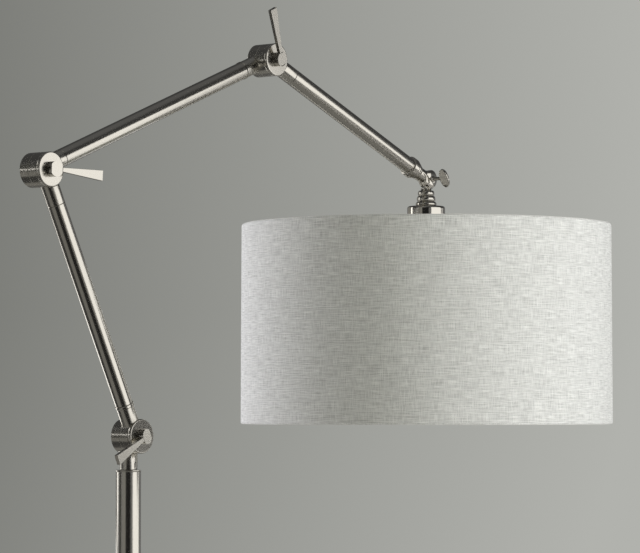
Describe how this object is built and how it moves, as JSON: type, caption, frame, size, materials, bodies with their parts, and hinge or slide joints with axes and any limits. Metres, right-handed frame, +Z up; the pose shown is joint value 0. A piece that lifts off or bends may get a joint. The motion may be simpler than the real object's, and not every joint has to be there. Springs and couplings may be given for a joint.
{
  "type": "bridge floor lamp",
  "caption": "Floor lamp with a round weighted base, an upright post, an arm folded at clamp joints with small levers, and a drum shade hung from a tilting knuckle.",
  "frame": {"origin": "centre of the underside of the base, on the floor, under the post", "axes": "+Z up along the post; +X towards the side that the arm and the shade reach to; -Y is the front, where the clamp levers and the thumbscrew are; all arm joints turn about lines along Y"},
  "size_m": [0.9143, 0.457, 1.6435],
  "materials": {
    "brushed_nickel": "satin",
    "plain_steel": "satin",
    "cast_weight": "matte",
    "felt": "matte",
    "rubber": "matte",
    "clamp_washer": "matte",
    "lampholder": "satin",
    "contact_brass": "satin",
    "shade_wire": "satin",
    "liner": "matte",
    "linen": "matte"
  },
  "bodies": {
    "stand": {"base_pad": "felt", "base_weight": "cast_weight", "base_cover": "brushed_nickel", "cord_grommet": "rubber", "base_nipple": "plain_steel", "base_washer": "plain_steel", "base_nut": "plain_steel", "post_foot": "brushed_nickel", "post_plug": "plain_steel", "lower_post": "brushed_nickel", "post_coupler": "brushed_nickel", "upper_post": "brushed_nickel", "post_top_ring": "brushed_nickel", "post_joint_rear": "brushed_nickel", "post_joint_washer": "clamp_washer", "post_joint_bolt": "plain_steel"},
    "lower_arm": {"post_joint_front": "brushed_nickel", "post_joint_cap": "brushed_nickel", "lower_arm_ring": "brushed_nickel", "lower_arm_tube": "brushed_nickel", "elbow_front": "brushed_nickel", "elbow_cap": "brushed_nickel"},
    "middle_arm": {"elbow_rear": "brushed_nickel", "elbow_washer": "clamp_washer", "elbow_bolt": "plain_steel", "middle_arm_tube": "brushed_nickel", "middle_arm_ring": "brushed_nickel", "top_joint_rear": "brushed_nickel", "top_joint_washer": "clamp_washer", "top_joint_bolt": "plain_steel"},
    "outer_arm": {"top_joint_front": "brushed_nickel", "top_joint_cap": "brushed_nickel", "outer_arm_tube": "brushed_nickel", "outer_arm_collar": "brushed_nickel", "collar_screw": "brushed_nickel", "knuckle_fork": "brushed_nickel", "knuckle_nut": "brushed_nickel"},
    "shade_head": {"shade_stem": "brushed_nickel", "holder_cup": "brushed_nickel", "holder_nipple": "plain_steel", "lampholder_body": "lampholder", "lampholder_shell": "contact_brass", "lampholder_contact": "contact_brass", "shade_carrier": "shade_wire", "shade_ring": "lampholder", "shade_bottom_ring": "shade_wire", "shade_liner": "liner", "shade_fabric": "linen"},
    "post_lever": {"post_joint_lever": "brushed_nickel"},
    "elbow_lever": {"elbow_lever": "brushed_nickel"},
    "top_lever": {"top_joint_lever": "brushed_nickel"},
    "thumbscrew": {"knuckle_thumbscrew": "brushed_nickel"}
  },
  "joints": [
    {"name": "post_hinge", "type": "hinge", "parent": "stand", "child": "lower_arm", "pos_m": [0, -0.0035, 1.15], "axis": [0, -1, 0], "range_deg": [-80, 80]},
    {"name": "elbow_hinge", "type": "hinge", "parent": "lower_arm", "child": "middle_arm", "pos_m": [-0.14278, -0.0035, 1.43638], "axis": [0, 1, 0], "range_deg": [-180, 20]},
    {"name": "top_hinge", "type": "hinge", "parent": "middle_arm", "child": "outer_arm", "pos_m": [0.22835, -0.0035, 1.58557], "axis": [0, -1, 0], "range_deg": [-40, 150]},
    {"name": "knuckle_hinge", "type": "hinge", "parent": "outer_arm", "child": "shade_head", "pos_m": [0.52399, -0.0122, 1.46312], "axis": [0, -1, 0], "range_deg": [-28, 90]},
    {"name": "post_lever_turn", "type": "hinge", "parent": "stand", "child": "post_lever", "pos_m": [0, -0.0035, 1.15], "axis": [0, -1, 0], "range_deg": [0, 120]},
    {"name": "elbow_lever_turn", "type": "hinge", "parent": "middle_arm", "child": "elbow_lever", "pos_m": [-0.14278, -0.0035, 1.43638], "axis": [0, -1, 0], "range_deg": [0, 120]},
    {"name": "top_lever_turn", "type": "hinge", "parent": "middle_arm", "child": "top_lever", "pos_m": [0.22835, -0.0035, 1.58557], "axis": [0, -1, 0], "range_deg": [0, 120]},
    {"name": "thumbscrew_turn", "type": "hinge", "parent": "outer_arm", "child": "thumbscrew", "pos_m": [0.52399, -0.0122, 1.46312], "axis": [0, -1, 0], "range_deg": [0, 180]}
  ]
}
